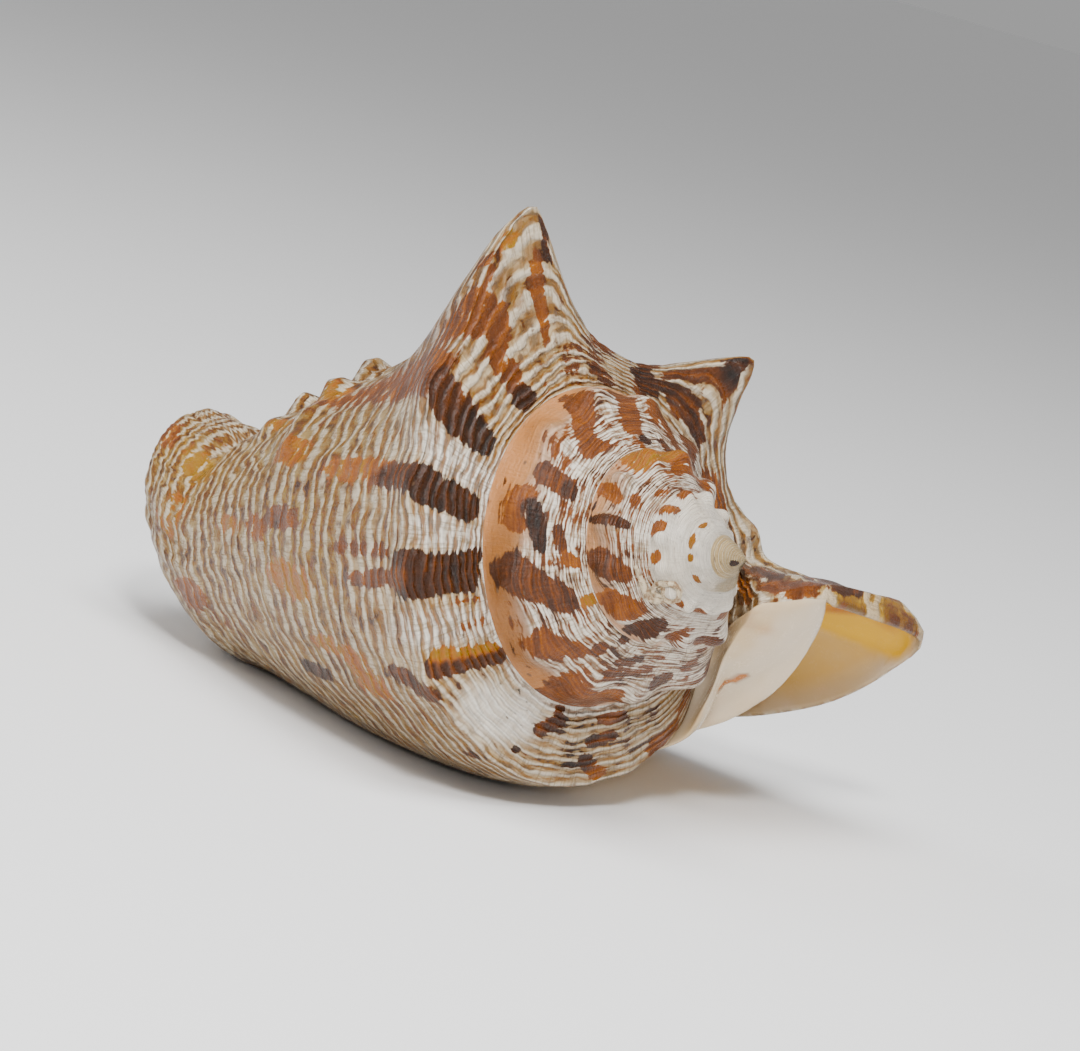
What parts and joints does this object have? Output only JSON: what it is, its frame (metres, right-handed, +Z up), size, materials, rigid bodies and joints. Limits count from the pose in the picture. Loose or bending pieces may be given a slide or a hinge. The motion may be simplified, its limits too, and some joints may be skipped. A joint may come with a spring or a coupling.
{
  "type": "hawk wing conch shell",
  "caption": "Spiral sea snail shell with a blunt shoulder knob, a stepped spire, a flared wing lip and an open mouth, lying on its mouth side",
  "frame": {"origin": "centre of the bounding box in X and Y, on the surface that the shell lies on", "axes": "+X runs from the front end to the tip of the spire, +Y towards the wing of the outer lip, +Z up from the surface"},
  "size_m": [0.089, 0.0724, 0.0653],
  "materials": {
    "shell": "glossy"
  },
  "bodies": {
    "root": {"shell": "shell"}
  },
  "joints": []
}
